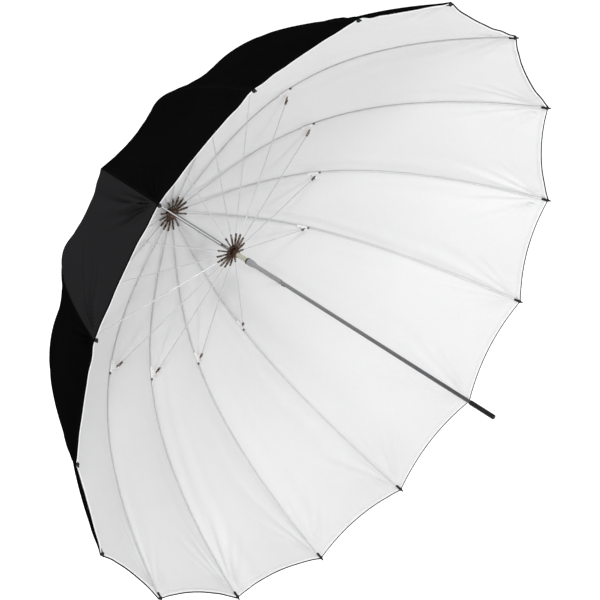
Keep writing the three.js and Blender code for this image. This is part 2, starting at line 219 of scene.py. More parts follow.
def arc(centre, radius, start, end, steps):
    """Points on an arc, angles in degrees."""
    return [
        (centre[0] + radius * math.cos(math.radians(start + (end - start) * i / steps)),
         centre[1] + radius * math.sin(math.radians(start + (end - start) * i / steps)))
        for i in range(steps + 1)
    ]


def plate(outline, thickness, middle=0.0):
    """A flat plate in the rib's plane with the given outline, centred at that offset across it."""
    low = [Vector((x, y, middle - thickness / 2)) for x, y in outline]
    high = [Vector((x, y, middle + thickness / 2)) for x, y in outline]
    return skinned([low, high])


def washer(place, inner, outer, thickness, middle=0.0, sides=20):
    """A flat ring about a cross axis of the rib's plane."""
    corners = ((inner, -1), (outer, -1), (outer, 1), (inner, 1))
    points = []
    for radius, z in corners:
        for k in range(sides):
            angle = 2 * math.pi * k / sides
            points.append(Vector((place[0] + radius * math.cos(angle), place[1] + radius * math.sin(angle),
                                  middle + z * thickness / 2)))
    return points, faces_round([(i, (i + 1) % len(corners)) for i in range(len(corners))], sides)


def dome(place, radius, height, middle, direction):
    """A low rivet head on a cross axis of the rib's plane."""
    profile = [(0, height), (radius * 0.5, height * 0.86), (radius * 0.86, height * 0.5), (radius, 0), (0, 0)]
    turn = Matrix.Rotation(math.pi / 2 * direction, 4, "X")
    move = Matrix.Translation((place[0], place[1], middle))
    return turned(profile, 16, move @ turn)


def sloped(parts, place, angle):
    """Parts turned in the rib's plane by angle, then moved to place."""
    matrix = Matrix.Translation((place[0], place[1], 0)) @ Matrix.Rotation(angle, 4, "Z")
    return [([matrix @ p for p in points], faces) for points, faces in parts]


def made(name, parts, materials, body, matrix=None, bevel=0.0, nodes=(), sharp=35):
    """One object from parts, each (points, faces) or (points, faces, material index)."""
    mesh = bpy.data.meshes.new(name)
    bm = bmesh.new()
    for part in parts:
        start = [bm.verts.new(matrix @ p if matrix else p) for p in part[0]]
        for face in part[1]:
            corners = [start[i] for i in face]
            if len(set(corners)) >= 3:
                made_face = bm.faces.new(corners)
                made_face.material_index = part[2] if len(part) > 2 else 0
    bmesh.ops.remove_doubles(bm, verts=bm.verts, dist=1e-7)
    bmesh.ops.dissolve_degenerate(bm, edges=bm.edges, dist=1e-7)
    bmesh.ops.recalc_face_normals(bm, faces=bm.faces)
    limit = math.radians(sharp)
    if bevel:
        edges = [e for e in bm.edges if len(e.link_faces) == 2 and e.calc_face_angle(0) > limit]
        bmesh.ops.bevel(bm, geom=edges, offset=bevel, segments=2, profile=0.6, affect="EDGES",
                        clamp_overlap=True)
    for face in bm.faces:
        face.smooth = True
    for edge in bm.edges:
        edge.smooth = len(edge.link_faces) != 2 or edge.calc_face_angle(0) < limit
    bm.to_mesh(mesh)
    bm.free()
    piece = bpy.data.objects.new(name, mesh)
    bpy.context.scene.collection.objects.link(piece)
    for material in materials:
        mesh.materials.append(material)
    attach(piece, body)
    if nodes:
        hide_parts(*nodes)
    return piece


# ---------------------------------------------------------------- materials

class Nodes:
    """A short way to write a material's node tree."""

    def __init__(self, name, color, roughness, metallic=0.0):
        self.material = bpy.data.materials.new(name)
        self.material.use_nodes = True
        self.tree = self.material.node_tree
        self.shader = self.tree.nodes["Principled BSDF"]
        self.shader.inputs["Base Color"].default_value = (*color, 1)
        self.shader.inputs["Roughness"].default_value = roughness
        self.shader.inputs["Metallic"].default_value = metallic

    def node(self, kind, **settings):
        made_node = self.tree.nodes.new(kind)
        for key, value in settings.items():
            setattr(made_node, key, value)
        return made_node

    def link(self, source, target):
        self.tree.links.new(source, target)

    def set(self, name, value):
        self.shader.inputs[name].default_value = value

    def place(self):
        return self.node("ShaderNodeTexCoord").outputs["Object"]

    def uv(self):
        return self.node("ShaderNodeUVMap", uv_map="cloth").outputs["UV"]

    def noise(self, scale, detail=2.0, roughness=0.5, vector=None, stretch=None):
        source = vector or self.place()
        if stretch:
            mapping = self.node("ShaderNodeMapping")
            mapping.inputs["Scale"].default_value = stretch
            self.link(source, mapping.inputs["Vector"])
            source = mapping.outputs["Vector"]
        texture = self.node("ShaderNodeTexNoise")
        texture.inputs["Scale"].default_value = scale
        texture.inputs["Detail"].default_value = detail
        texture.inputs["Roughness"].default_value = roughness
        self.link(source, texture.inputs["Vector"])
        return texture.outputs["Fac"]

    def math(self, operation, a, b=None, clamp=False):
        step = self.node("ShaderNodeMath", operation=operation, use_clamp=clamp)
        for socket, value in zip(step.inputs, (a, b)):
            if value is None:
                continue
            if isinstance(value, (int, float)):
                socket.default_value = value
            else:
                self.link(value, socket)
        return step.outputs[0]

    def ramp(self, source, stops):
        ramp = self.node("ShaderNodeValToRGB")
        elements = ramp.color_ramp.elements
        while len(elements) < len(stops):
            elements.new(0.5)
        for element, (position, color) in zip(elements, stops):
            element.position = position
            element.color = (*color, 1)
        self.link(source, ramp.inputs["Fac"])
        return ramp.outputs["Color"]

    def mix(self, factor, a, b):
        blend = self.node("ShaderNodeMix", data_type="RGBA")
        for name, value in (("Factor", factor), ("A", a), ("B", b)):
            socket = blend.inputs[name]
            if isinstance(value, tuple):
                socket.default_value = (*value, 1)
            elif isinstance(value, (int, float)):
                socket.default_value = value
            else:
                self.link(value, socket)
        return blend.outputs["Result"]

    def spread(self, source, low, high):
        """Maps 0..1 to low..high."""
        step = self.node("ShaderNodeMapRange")
        step.inputs["To Min"].default_value = low
        step.inputs["To Max"].default_value = high
        self.link(source, step.inputs["Value"])
        return step.outputs["Result"]

    def bump(self, height, distance, strength=1.0):
        bump = self.node("ShaderNodeBump")
        bump.inputs["Strength"].default_value = strength
        bump.inputs["Distance"].default_value = distance
        self.link(height, bump.inputs["Height"])
        self.link(bump.outputs["Normal"], self.shader.inputs["Normal"])


def shaded(color, share):
    return tuple(c * share for c in color)


def mottled(n, source, color, variation, low=0.3, high=0.7):
    """A colour that varies about its mean by that share, as a texture goes from low to high."""
    return n.ramp(source, [(low, shaded(color, 1 - variation)), (high, shaded(color, 1 + variation))])


def metal(name, color, roughness, wear=0.15, brushed=None):
    """Metal with cloudy tone, uneven polish and fine scratches."""
    n = Nodes(name, color, roughness, 1.0)
    clouds = n.noise(60, 4, 0.6)
    n.link(mottled(n, clouds, color, wear), n.shader.inputs["Base Color"])
    fine = n.noise(900, 2, 0.6, stretch=brushed or (1, 1, 1))
    n.link(n.spread(fine, roughness * 0.75, roughness * 1.3), n.shader.inputs["Roughness"])
    n.bump(fine, 0.02 * MM, 0.5)
    return n.material


def paint(name, color, roughness, metallic=0.0, grain=1500, depth=0.02 * MM, wear=0.06, gloss=0.5):
    """Lacquer or moulded plastic with a fine grain and slight mottling."""
    n = Nodes(name, color, roughness, metallic)
    n.set("Specular IOR Level", gloss)
    clouds = n.noise(90, 3, 0.5)
    n.link(mottled(n, clouds, color, wear), n.shader.inputs["Base Color"])
    fine = n.noise(grain, 2, 0.6)
    n.link(n.spread(fine, roughness * 0.85, roughness * 1.15), n.shader.inputs["Roughness"])
    n.bump(fine, depth, 0.6)
    return n.material


def bronze():
    """Dark brown plated sheet metal in random patches of near black, brown and cream: the patches paint lit and
    shaded blades, and the cream ones are painted highlights.
    """
    dark, warm, painted_highlight = (0.022, 0.014, 0.010), (0.17, 0.125, 0.095), (0.70, 0.62, 0.54)
    n = Nodes("bronze_plate", warm, 0.4, 0.85)
    # painted light: random patches of painted shade and painted light on the blades, with a cream painted
    # highlight
    painted_light_patches = n.noise(160, 4, 0.65)
    tone = n.ramp(painted_light_patches, [(0.38, dark), (0.56, warm), (0.70, painted_highlight)])
    n.link(tone, n.shader.inputs["Base Color"])
    fine = n.noise(1400, 3, 0.6)
    n.link(n.spread(fine, 0.28, 0.5), n.shader.inputs["Roughness"])
    n.bump(fine, 0.03 * MM, 0.6)
    return n.material


def shaft_finish():
    """Plated tube with painted shade: its colour darkens from the hub end towards the grip."""
    light, dark = (0.36, 0.36, 0.365), (0.16, 0.16, 0.165)
    n = Nodes("shaft_steel", light, 0.28, 1.0)
    split = n.node("ShaderNodeSeparateXYZ")
    n.link(n.place(), split.inputs[0])
    # painted shade along the tube, darker towards the grip
    n.link(n.ramp(split.outputs["Y"], [(0.0, dark), (0.55, light)]), n.shader.inputs["Base Color"])
    fine = n.noise(900, 2, 0.6, stretch=(1, 0.04, 1))
    n.link(n.spread(fine, 0.22, 0.36), n.shader.inputs["Roughness"])
    n.bump(fine, 0.02 * MM, 0.5)
    return n.material


THREAD = 0.9 * MM  # pitch of the weave
STITCH_PITCH = 3.2 * MM
STITCH_LENGTH = 2.2 * MM
STITCH_WIDTH = 0.7 * MM
SEAM_STITCHES = 3.2 * MM  # from the seam to its rows of stitches
HEM_STITCHES = 7.5 * MM
PAINTED_SHEEN_GAIN = 5.6  # how many times the painted sheen brightens the sheen gore's black above the rest


def weave_height(n, across, along):
    """A plain weave: two crossed sets of threads, each over one and under one."""
    warp = n.math("SINE", n.math("MULTIPLY", across, 2 * math.pi / THREAD))
    weft = n.math("SINE", n.math("MULTIPLY", along, 2 * math.pi / THREAD))
    return n.math("MULTIPLY", warp, weft)


def stitches(n, across, along, row):
    """1 on a row of stitches at that distance either side of the seam, 0 elsewhere."""
    off = n.math("ABSOLUTE", n.math("SUBTRACT", n.math("ABSOLUTE", across), row))
    near = n.math("LESS_THAN", off, STITCH_WIDTH / 2)
    step = n.math("MODULO", along, STITCH_PITCH)
    return n.math("MULTIPLY", near, n.math("LESS_THAN", step, STITCH_LENGTH))


def cloth(name, color, roughness, gloss, sheen, tint, thread_color, variation, depth):
    """Woven cloth: UV is metres across from the seam and metres along from the hem."""
    n = Nodes(name, color, roughness)
    n.set("Specular IOR Level", gloss)
    n.set("Sheen Weight", sheen)
    n.set("Sheen Roughness", 0.4)
    n.set("Sheen Tint", (*tint, 1))
    split = n.node("ShaderNodeSeparateXYZ")
    n.link(n.uv(), split.inputs[0])
    across, along = split.outputs["X"], split.outputs["Y"]
    slub = n.noise(70, 3, 0.6, vector=n.uv(), stretch=(1, 5, 1))
    clouds = n.noise(7, 3, 0.5)
    tone = n.mix(0.5, mottled(n, slub, color, variation, 0.35, 0.65), mottled(n, clouds, color, variation))
    # painted sheen: the sheen gore's black cloth is made less dark in colour to stand for the light it reflects
    painted_sheen = n.node("ShaderNodeAttribute", attribute_name="painted_sheen", attribute_type="GEOMETRY").outputs["Fac"]
    sheened_tone = n.mix(painted_sheen, tone, shaded(color, PAINTED_SHEEN_GAIN))
    rows = n.math("ADD", stitches(n, across, along, SEAM_STITCHES), stitches(n, along, across, HEM_STITCHES),
                  clamp=True)
    n.link(n.mix(rows, sheened_tone, thread_color), n.shader.inputs["Base Color"])
    threads = weave_height(n, across, along)
    height = n.math("ADD", n.math("MULTIPLY", threads, 0.35), n.math("MULTIPLY", slub, 1.2))
    n.bump(n.math("ADD", height, n.math("MULTIPLY", rows, 1.5)), depth, 0.7)
    return n.material


WHITE = (0.76, 0.76, 0.763)
BLACK = (0.0030, 0.0030, 0.0032)
white_cloth = cloth("white_cloth", WHITE, 0.85, 0.3, 0.08, (1, 1, 1), (0.70, 0.70, 0.70), 0.02, 0.05 * MM)
black_cloth = cloth("black_cloth", BLACK, 0.5, 0.0, 0.0, (1, 1, 1), (0.010, 0.010, 0.010), 0.25, 0.10 * MM)
white_tape = paint("white_tape", (0.90, 0.90, 0.90), 0.7, grain=700, depth=0.05 * MM, wear=0.03)
shaft_metal = shaft_finish()
bronze_metal = bronze()
spring_metal = metal("spring_steel", (0.07, 0.07, 0.07), 0.35, 0.2)
ring_metal = metal("ring_bronze", (0.10, 0.058, 0.045), 0.40, 0.6)
rivet_metal = metal("rivet_steel", (0.55, 0.54, 0.53), 0.3, 0.1)
rib_paint = paint("rib_lacquer", (0.66, 0.66, 0.67), 0.34, 0.15)
stretcher_metal = paint("stretcher_steel", (0.68, 0.68, 0.69), 0.4, 0.55)
white_nylon = paint("white_nylon", (0.87, 0.86, 0.85), 0.38)
pale_nylon = paint("pale_nylon", (0.46, 0.46, 0.37), 0.45)
black_plastic = paint("black_plastic", (0.009, 0.009, 0.010), 0.42, wear=0.2, gloss=0.22)
sleeve_paint = paint("grey_sleeve", (0.40, 0.40, 0.41), 0.34, 0.7)
dark_ferrule = paint("dark_ferrule", (0.13, 0.125, 0.12), 0.4, 0.7)


# ---------------------------------------------------------------- shaft, notch and runner

SHAFT_RADIUS = 4 * MM
SHAFT_GAP = 0.3 * MM


def slotted_ring(name, y, high, body, node, socket=0.0):
    """A ring with a tooth between every two blades, on a collared core, with a socket below it if asked for."""
    outer, floor, slot_width, half_length = 15.5 * MM, 9.6 * MM, 2.7 * MM, 3.5 * MM
    parts = [turned([(SHAFT_RADIUS + SHAFT_GAP, y - half_length), (floor, y - half_length),
                     (floor, y + half_length), (8.2 * MM, y + half_length), (8.2 * MM, high),
                     (SHAFT_RADIUS + SHAFT_GAP, high)], 64)]
    if socket:
        base = y - half_length
        parts.append(turned([(5.5 * MM, base + 0.5 * MM), (9.0 * MM, base + 0.5 * MM),
                             (8.6 * MM, base - socket * 0.5), (7.4 * MM, base - socket),
                             (5.5 * MM, base - socket)], 64))
    for number in range(1, RIBS + 1):
        first = rib_angle(number)
        second = first - 2 * HALF_GORE
        walls = []
        for radius in (floor - 0.5 * MM, outer):
            reach = math.asin(slot_width / 2 / radius)
            walls.append((radius, first - reach, second + reach))
        outline = [(walls[0][0], walls[0][1]), (walls[0][0], walls[0][2])]
        outline += [(outer, walls[1][2] + (walls[1][1] - walls[1][2]) * i / 4) for i in range(5)]
        flat = [(r * math.cos(a), r * math.sin(a)) for r, a in outline]
        parts.append(skinned([[Vector((x, level, z)) for x, z in flat]
                              for level in (y - half_length, y + half_length)]))
    return made(name, parts, [ring_metal], body, bevel=BEVEL, nodes=[node])


def pivot_wire(name, y, body, node):
    """The ring of wire on which the blades' eyes turn."""
    rings = []
    for i in range(64):
        angle = 2 * math.pi * i / 64
        out = Vector((math.cos(angle), 0, math.sin(angle)))
        rings.append(ring(out * PIVOT_RADIUS + Vector((0, y, 0)), out, Vector((0, 1, 0)), circle(0.6 * MM, 8)))
    points, faces = skinned(rings + [rings[0]], closed_ends=False)
    return made(name, [(points, faces)], [spring_metal], body, nodes=[node])


def shaft():
    """The tube and its black end."""
    low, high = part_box("shaft_tube")
    made("shaft", [turned([(3.2 * MM, low.y), (SHAFT_RADIUS, low.y), (SHAFT_RADIUS, high.y), (3.2 * MM, high.y)])],
         [shaft_metal], "root", nodes=["shaft_tube"])
    low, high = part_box("shaft_end_cap")
    grip = 5 * MM
    inner = SHAFT_RADIUS + 0.1 * MM
    profile = [(0, low.y), (2.6 * MM, low.y)] + arc((2.6 * MM, low.y + 2.4 * MM), 2.4 * MM, -90, 0, 6)
    profile += [(grip, high.y - 1.5 * MM), (grip - 0.3 * MM, high.y - 0.6 * MM), (inner, high.y),
                (inner, low.y + 2 * MM), (0, low.y + 2 * MM)]
    made("shaft_end", [turned(profile)], [black_plastic], "root", nodes=["shaft_end_cap"])


def hub_top():
    """The rosette over the cloth's inner ends and the cap nut that holds it."""
    low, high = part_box("canopy_rosette")
    wide = high.x
    bore = SHAFT_RADIUS + SHAFT_GAP
    profile = [(bore, low.y), (wide - 1.2 * MM, low.y)]
    profile += arc((wide - 1.2 * MM, low.y + 0.6 * MM), 0.6 * MM, -90, 70, 6)
    profile += [(wide * 0.8, low.y + 1.6 * MM), (wide * 0.6, low.y + 2.2 * MM), (8 * MM, high.y), (bore, high.y)]
    made("rosette", [turned(profile, 64)], [black_plastic], "root", nodes=["canopy_rosette"])
    low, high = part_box("finial")
    flange, body = high.x, 5.4 * MM
    profile = [(bore, low.y), (flange - 0.4 * MM, low.y), (flange, low.y + 0.4 * MM), (flange, low.y + 2.4 * MM)]
    profile += [(flange - 0.6 * MM, low.y + 3 * MM), (body, low.y + 3.6 * MM), (body, high.y - 1.8 * MM)]
    profile += arc((body - 1.6 * MM, high.y - 1.6 * MM), 1.6 * MM, 0, 90, 6)
    socket = high.y - 11 * MM
    profile += [(bore, socket), (0, socket)]
    made("finial_nut", [turned(profile, 48)], [black_plastic], "root", nodes=["finial"])


def runner():
    """Neck, black band and flared sleeve behind the crown."""
    low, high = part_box("runner_neck")
    bore, wide = SHAFT_RADIUS + SHAFT_GAP, high.x
    ribs = []
    for i in range(5):
        level = low.y + (high.y - low.y) * (0.2 + 0.15 * i)
        ribs += [(wide, level - 1.4 * MM), (wide - 0.5 * MM, level - 0.9 * MM),
                 (wide - 0.5 * MM, level + 0.9 * MM), (wide, level + 1.4 * MM)]
    made("neck", [turned([(bore, low.y), (wide, low.y), *ribs, (wide, high.y), (bore, high.y)])],
         [pale_nylon], "runner", nodes=["runner_neck"])
    low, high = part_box("runner_band")
    bore, wide, middle = 4.35 * MM, high.x, (low.y + high.y) / 2
    profile = [(bore, low.y), (wide - 0.8 * MM, low.y)] + arc((wide - 1.2 * MM, middle), 1.2 * MM, -60, 60, 8)
    made("band", [turned(profile + [(wide - 0.8 * MM, high.y), (bore, high.y)])],
         [black_plastic], "runner", nodes=["runner_band"])
    low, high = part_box("runner_sleeve")
    wide, slim = high.x, 5.3 * MM
    flare = high.y - (74 - 48.2) * MM
    profile = [(bore, low.y), (slim - 0.4 * MM, low.y), (slim, low.y + 0.5 * MM), (slim, low.y + 3 * MM),
               (slim - 0.35 * MM, low.y + 3.6 * MM), (slim - 0.35 * MM, flare - 2 * MM)]
    for i in range(13):
        share = i / 12
        eased = share * share * (3 - 2 * share)
        profile.append((slim - 0.35 * MM + (wide - slim + 0.35 * MM) * eased, flare + 16 * MM * share))
    profile += [(wide, high.y - 0.6 * MM), (wide - 0.6 * MM, high.y), (bore, high.y)]
    made("sleeve", [turned(profile, 56)], [sleeve_paint], "runner", nodes=["runner_sleeve"])


def catch():
    """The bent leaf below the shaft, square towards the sleeve."""
    low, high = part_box("open_catch")
    top, length = -low.z, high.y - low.y
    outline = [(1.2 * MM, high.y), (1.2 * MM, low.y), (3.4 * MM, low.y)]
    outline += [(3.4 * MM + (top - 3.4 * MM) * math.sin(math.pi / 2 * i / 8) ** 1.2,
                 low.y + length * 0.82 * i / 8) for i in range(1, 9)]
    outline += [(top, high.y - 0.8 * MM), (top - 0.8 * MM, high.y)]
    turn = Matrix.Rotation(math.pi / 2, 4, "Y")
    made("catch_leaf", [plate(outline, 1.2 * MM)], [spring_metal], "catch", matrix=turn,
         bevel=0.2 * MM, nodes=["open_catch"])


# ---------------------------------------------------------------- ribs and stretchers

BLADE_REACH = 41.5 * MM
FORK_REACH = 17 * MM
BLADE_THICKNESS = 2 * MM
BLADE_HEIGHT = 5 * MM
ROD_START = 26 * MM  # along the rib's curve
ROD_STEPS = 90
FERRULE_PAST = 21 * MM  # past the joint, along the rib's curve
JOINT_SHARE = (JOINT_RADIUS - PIVOT_RADIUS) / (RIM_RADIUS - PIVOT_RADIUS)


def blade(length, start=0.0):
    """A flat blade from its eye, narrowing to a crimp round the rod. X runs along it."""
    half = BLADE_HEIGHT / 2
    outline = [(start, -half + 0.1 * MM), (length - 9 * MM, -half), (length - 4 * MM, -half * 0.86),
               (length, -half * 0.66), (length, half * 0.66), (length - 4 * MM, half * 0.86),
               (length - 9 * MM, half), (start, half - 0.1 * MM)]
    return plate(outline, BLADE_THICKNESS)


def crimp(length):
    """The round end of a blade, pressed onto the rod."""
    turn = Matrix.Rotation(-math.pi / 2, 4, "Z")
    profile = [(0, length - 7 * MM), (2.1 * MM, length - 6 * MM), (2.2 * MM, length - 1 * MM),
               (1.9 * MM, length), (0, length)]
    return turned(profile, 20, turn)


def blade_with_eye(length):
    return [blade(length, 1.9 * MM), crimp(length), washer((0, 0), 1.0 * MM, 2.45 * MM, BLADE_THICKNESS)]


def lie_of_rib(t):
    """The rib's place at a share of its curve, the direction along it, and that direction's slope."""
    place, normal = rib_point(t)
    along = Vector((normal.y, -normal.x))
    return place, along, math.atan2(along.y, along.x)


def rib(number):
    """One rib: rod, root blade, clip with its rivet, ferrule and tip."""
    matrix, body, name = rib_frame(number), f"rib_{number:02d}", f"{number:02d}"
    node = f"rib_{name}"
    start = share_at(ROD_START)
    shares = [start + (1 - start) * i / ROD_STEPS for i in range(ROD_STEPS + 1)]
    made(f"rib_rod_{name}", [rod([rib_point(t) for t in shares], 1.5 * MM, 12)], [rib_paint], body,
         matrix, nodes=[node])

    _, normal = rib_point(0)
    slope = -math.atan2(normal.x, normal.y)
    parts = blade_with_eye(BLADE_REACH - PIVOT_RADIUS)
    made(f"rib_blade_{name}", sloped(parts, (PIVOT_RADIUS, HUB_Y), slope), [bronze_metal], body,
         matrix, bevel=BEVEL)

    place, along, lean = lie_of_rib(JOINT_SHARE + 0.01)
    boss = Vector((JOINT_RADIUS, JOINT_Y)) - place
    local = (boss.dot(along), boss.dot(Vector((-along.y, along.x))))
    half, depth, round_radius = 13 * MM, 2.6 * MM, 4.0 * MM
    outline = [(half, -depth * 0.5), (half - 1 * MM, 1.6 * MM), (-half + 1 * MM, 1.6 * MM), (-half, -depth * 0.5),
               (-half * 0.45, -depth * 1.2)]
    outline += [(local[0] + round_radius * math.cos(a), local[1] + round_radius * math.sin(a))
                for a in np.linspace(-math.pi, 0, 13)]
    outline += [(half * 0.5, -depth * 1.2)]
    clip = [plate(outline[::-1], 2.0 * MM)]
    saddle = Matrix.Translation((0, -0.6 * MM, 0)) @ Matrix.Rotation(-math.pi / 2, 4, "Z")
    clip.append(turned([(0, -half), (2.2 * MM, -half), (2.8 * MM, -half + 1.5 * MM), (2.8 * MM, half - 1.5 * MM),
                        (2.2 * MM, half), (0, half)], 20, saddle))
    clip.append(washer(local, 1.4 * MM, round_radius + 0.2 * MM, 2.8 * MM, sides=28))
    made(f"rib_clip_{name}", sloped(clip, place, lean), [white_nylon], body, matrix, bevel=BEVEL)

    pin = [dome((JOINT_RADIUS, JOINT_Y), 1.5 * MM, 0.7 * MM, side * 2.2 * MM, side) for side in (1, -1)]
    shank = Matrix.Translation((JOINT_RADIUS, JOINT_Y, 0)) @ Matrix.Rotation(math.pi / 2, 4, "X")
    pin.append(turned([(0, -2.3 * MM), (1 * MM, -2.3 * MM), (1 * MM, 2.3 * MM), (0, 2.3 * MM)], 16, shank))
    made(f"rib_rivet_{name}", pin, [rivet_metal], body, matrix)

    tip(number, matrix, body)


def tip(number, matrix, body):
    """The black tip: a sleeve on the rod, a ball and a thin nipple. The ferrule past the joint goes with it."""
    place, _, lean = lie_of_rib(1)
    profile = [(0, -7 * MM), (1.8 * MM, -7 * MM), (2.3 * MM, -6.4 * MM), (2.6 * MM, 2 * MM)]
    profile += arc((0, TIP_PAST), 4.0 * MM, -44, 50, 12)
    profile += [(radius * MM, TIP_PAST + past * MM) for radius, past in (
        (2.2, 3.6), (1.9, 4.6), (1.8, 5.4), (1.6, 7.6), (0.9, 8.2), (0, 8.2))]
    parts = sloped([turned(profile, 24)], place, lean - math.pi / 2)
    place, _, lean = lie_of_rib(share_at(length_at(JOINT_SHARE) + FERRULE_PAST))
    ferrule = turned([(0, -5 * MM), (1.9 * MM, -5 * MM), (2.2 * MM, -4.5 * MM), (2.2 * MM, -3.4 * MM),
                      (1.95 * MM, -3.0 * MM), (1.95 * MM, 3.0 * MM), (2.2 * MM, 3.4 * MM), (2.2 * MM, 4.5 * MM),
                      (1.9 * MM, 5 * MM), (0, 5 * MM)], 20)
    parts += [(points, faces, 1) for points, faces in sloped([ferrule], place, lean - math.pi / 2)]
    made(f"rib_tip_{number:02d}", parts, [black_plastic, dark_ferrule], body, matrix)


def stretcher(number):
    """One stretcher on the line from the runner's wire to the rib's clip."""
    matrix, body, name = rib_frame(number), f"stretcher_{number:02d}", f"{number:02d}"
    reach = math.hypot(JOINT_RADIUS - PIVOT_RADIUS, JOINT_Y - RUNNER_Y)
    slope = math.atan2(JOINT_Y - RUNNER_Y, JOINT_RADIUS - PIVOT_RADIUS)
    foot = (PIVOT_RADIUS, RUNNER_Y)
    up = Vector((0, 1))
    length = BLADE_REACH - PIVOT_RADIUS
    body_rod = rod([(Vector((x, 0)), up) for x in (length - 8 * MM, reach - 6 * MM)], 1.3 * MM, 14)
    made(f"stretcher_rod_{name}", sloped([body_rod], foot, slope), [stretcher_metal], body,
         matrix, nodes=[f"stretcher_{name}"])
    parts = blade_with_eye(length)
    cheek = [(reach - FORK_REACH, -1.5 * MM), (reach - 6 * MM, -1.9 * MM)]
    cheek += arc((reach, 0), 2.1 * MM, -75, 75, 10) + [(reach - 6 * MM, 1.9 * MM), (reach - FORK_REACH, 1.5 * MM)]
    for side in (1, -1):
        parts.append(plate(cheek, 0.7 * MM, side * 1.85 * MM))
    bridge = [(reach - FORK_REACH, -1.5 * MM), (reach - 5.4 * MM, -1.8 * MM), (reach - 5.4 * MM, 1.8 * MM),
              (reach - FORK_REACH, 1.5 * MM)]
    parts.append(plate(bridge, 4.0 * MM))
    made(f"stretcher_ends_{name}", sloped(parts, foot, slope), [bronze_metal], body, matrix,
         bevel=BEVEL)


# ---------------------------------------------------------------- cloth

def in_sheen_gore(number, side):
    """Whether a place on that side of a rib lies in the gore with the painted sheen."""
    first, second = SHEEN_GORE_RIBS
    return (number == first and side < 0) or (number == second and side > 0)


def tension_folds(draw, count, strength, spread, width, reach, start):
    """Folds that fan out from a tip: their angle from the seam, width, reach and height."""
    folds = []
    for i in range(count):
        sign = 1 if i % 2 else -1
        folds.append({
            "angle": math.radians(5 + spread * (i + 0.25 + 0.5 * draw.random()) / count),
            "width": math.radians(width + 1.6 * draw.random()),
            "reach": reach + 0.16 * draw.random(),
            "height": sign * strength * (0.9 + 0.9 * draw.random()) * MM,
            "bend": draw.uniform(-0.5, 0.5),
            "start": start,
        })
    return folds


def fold_height(folds, across, back):
    """The folds' height at a distance across from the seam and back from the tip."""
    far = math.hypot(across, back)
    angle = math.atan2(across, max(back, 1e-6))
    total = 0.0
    for fold in folds:
        off = (angle - fold["angle"] - fold["bend"] * far) / fold["width"]
        swell = min(1.0, far / fold["start"]) * math.exp(-((far / fold["reach"]) ** 2))
        total += fold["height"] * math.exp(-off * off) * swell
    return total


def gore_folds(number, side):
    """The fixed random folds of one half gore, the same on each run."""
    draw = random.Random(100 * number + (1 if side > 0 else 2))
    return {
        "tension": tension_folds(draw, *(DEEP_FOLDS if in_sheen_gore(number, side) else SHALLOW_FOLDS)),
        "waves": [(draw.uniform(2, 5), draw.uniform(0, 2 * math.pi), draw.uniform(1.5, 4),
                   draw.uniform(0.3, 0.9) * MM) for _ in range(3)],
    }


def cloth_rows(number):
    """Shares of the rib where the cloth's rows of points lie, closer together by the hem."""
    count = DEEP_FOLD_ROWS if number in SHEEN_GORE_RIBS else CLOTH_ROWS
    hem = [HEM_LENGTH - back for back in (14 * MM, 11 * MM, HEM_FOLD + 0.5 * MM, HEM_FOLD, 5 * MM, 2 * MM, 0)]
    inner = [hem[0] * (i / count) ** 0.78 for i in range(count)]
    return [-1.0] + [share_at(length) for length in inner + hem]


def cloth_columns(number):
    """Shares across a sector from -1 to 1, closer together by the seam, and more where the folds are deep."""
    half = CLOTH_COLUMNS if number in SHEEN_GORE_RIBS else CLOTH_COLUMNS // 2
    one = [(i / half) ** 1.4 for i in range(half + 1)]
    return [-x for x in reversed(one[1:])] + one


def cloth_point(number, folds, t, side, lift, hem_lift):
    """One point of the cloth over a rib, in the rib's own frame, and its place on the flat cloth."""
    share = abs(side)
    drawn = share * (2 - share)
    ramp = min(1.0, max(0.0, (t - HEM_RISE_FROM) / (HEM_START - HEM_RISE_FROM)))
    on_rib = max(t - HEM_BOW * drawn * ramp * ramp, 0.0)
    place, normal = rib_point(on_rib)
    width = place.x * math.tan(HALF_GORE) * share
    from_hem = HEM_LENGTH - length_at(t)
    from_tip = TIP_LENGTH - length_at(on_rib)
    offset = CLOTH_LIFT + HUB_LIFT * math.exp(-place.x / LIFT_DECAY) + lift
    offset += TIP_LIFT * math.exp(-((from_tip / TIP_LIFT_LENGTH) ** 2) - (width / TIP_LIFT_WIDTH) ** 2)
    offset += hem_lift * (1 if from_hem < HEM_FOLD + 0.1 * MM else 0)
    sink = (GORE_SINK + (HEM_SINK - GORE_SINK) * smooth_step(SINK_FALLS_FROM, 1, on_rib)) * drawn
    sink *= min(1.0, on_rib * SINK_RISE)
    window = (1 - share * share) ** 2 * min(1.0, width / (14 * MM))
    height = fold_height(folds["tension"], width, from_tip)
    for across, phase, along, tall in folds["waves"]:
        swing = math.sin(across * share * math.pi + along * on_rib * math.pi + phase)
        height += tall * swing * min(1, on_rib * 1.5)
    sink -= height * window
    sink += TIE_DEPTH * math.exp(-(((on_rib - TIE_SHARE) / 0.014) ** 2) - (width / (10 * MM)) ** 2)
    away = HALF_GORE * side
    chord = math.cos(HALF_GORE) / math.cos(HALF_GORE - abs(away))
    radius = (APEX_RADIUS if t < 0 else place.x + normal.x * offset) * chord - normal.x * sink
    level = place.y + normal.y * (offset - sink)
    place = Vector((radius * math.cos(away), level, radius * math.sin(away)))
    return place, (math.copysign(width, side), from_hem)


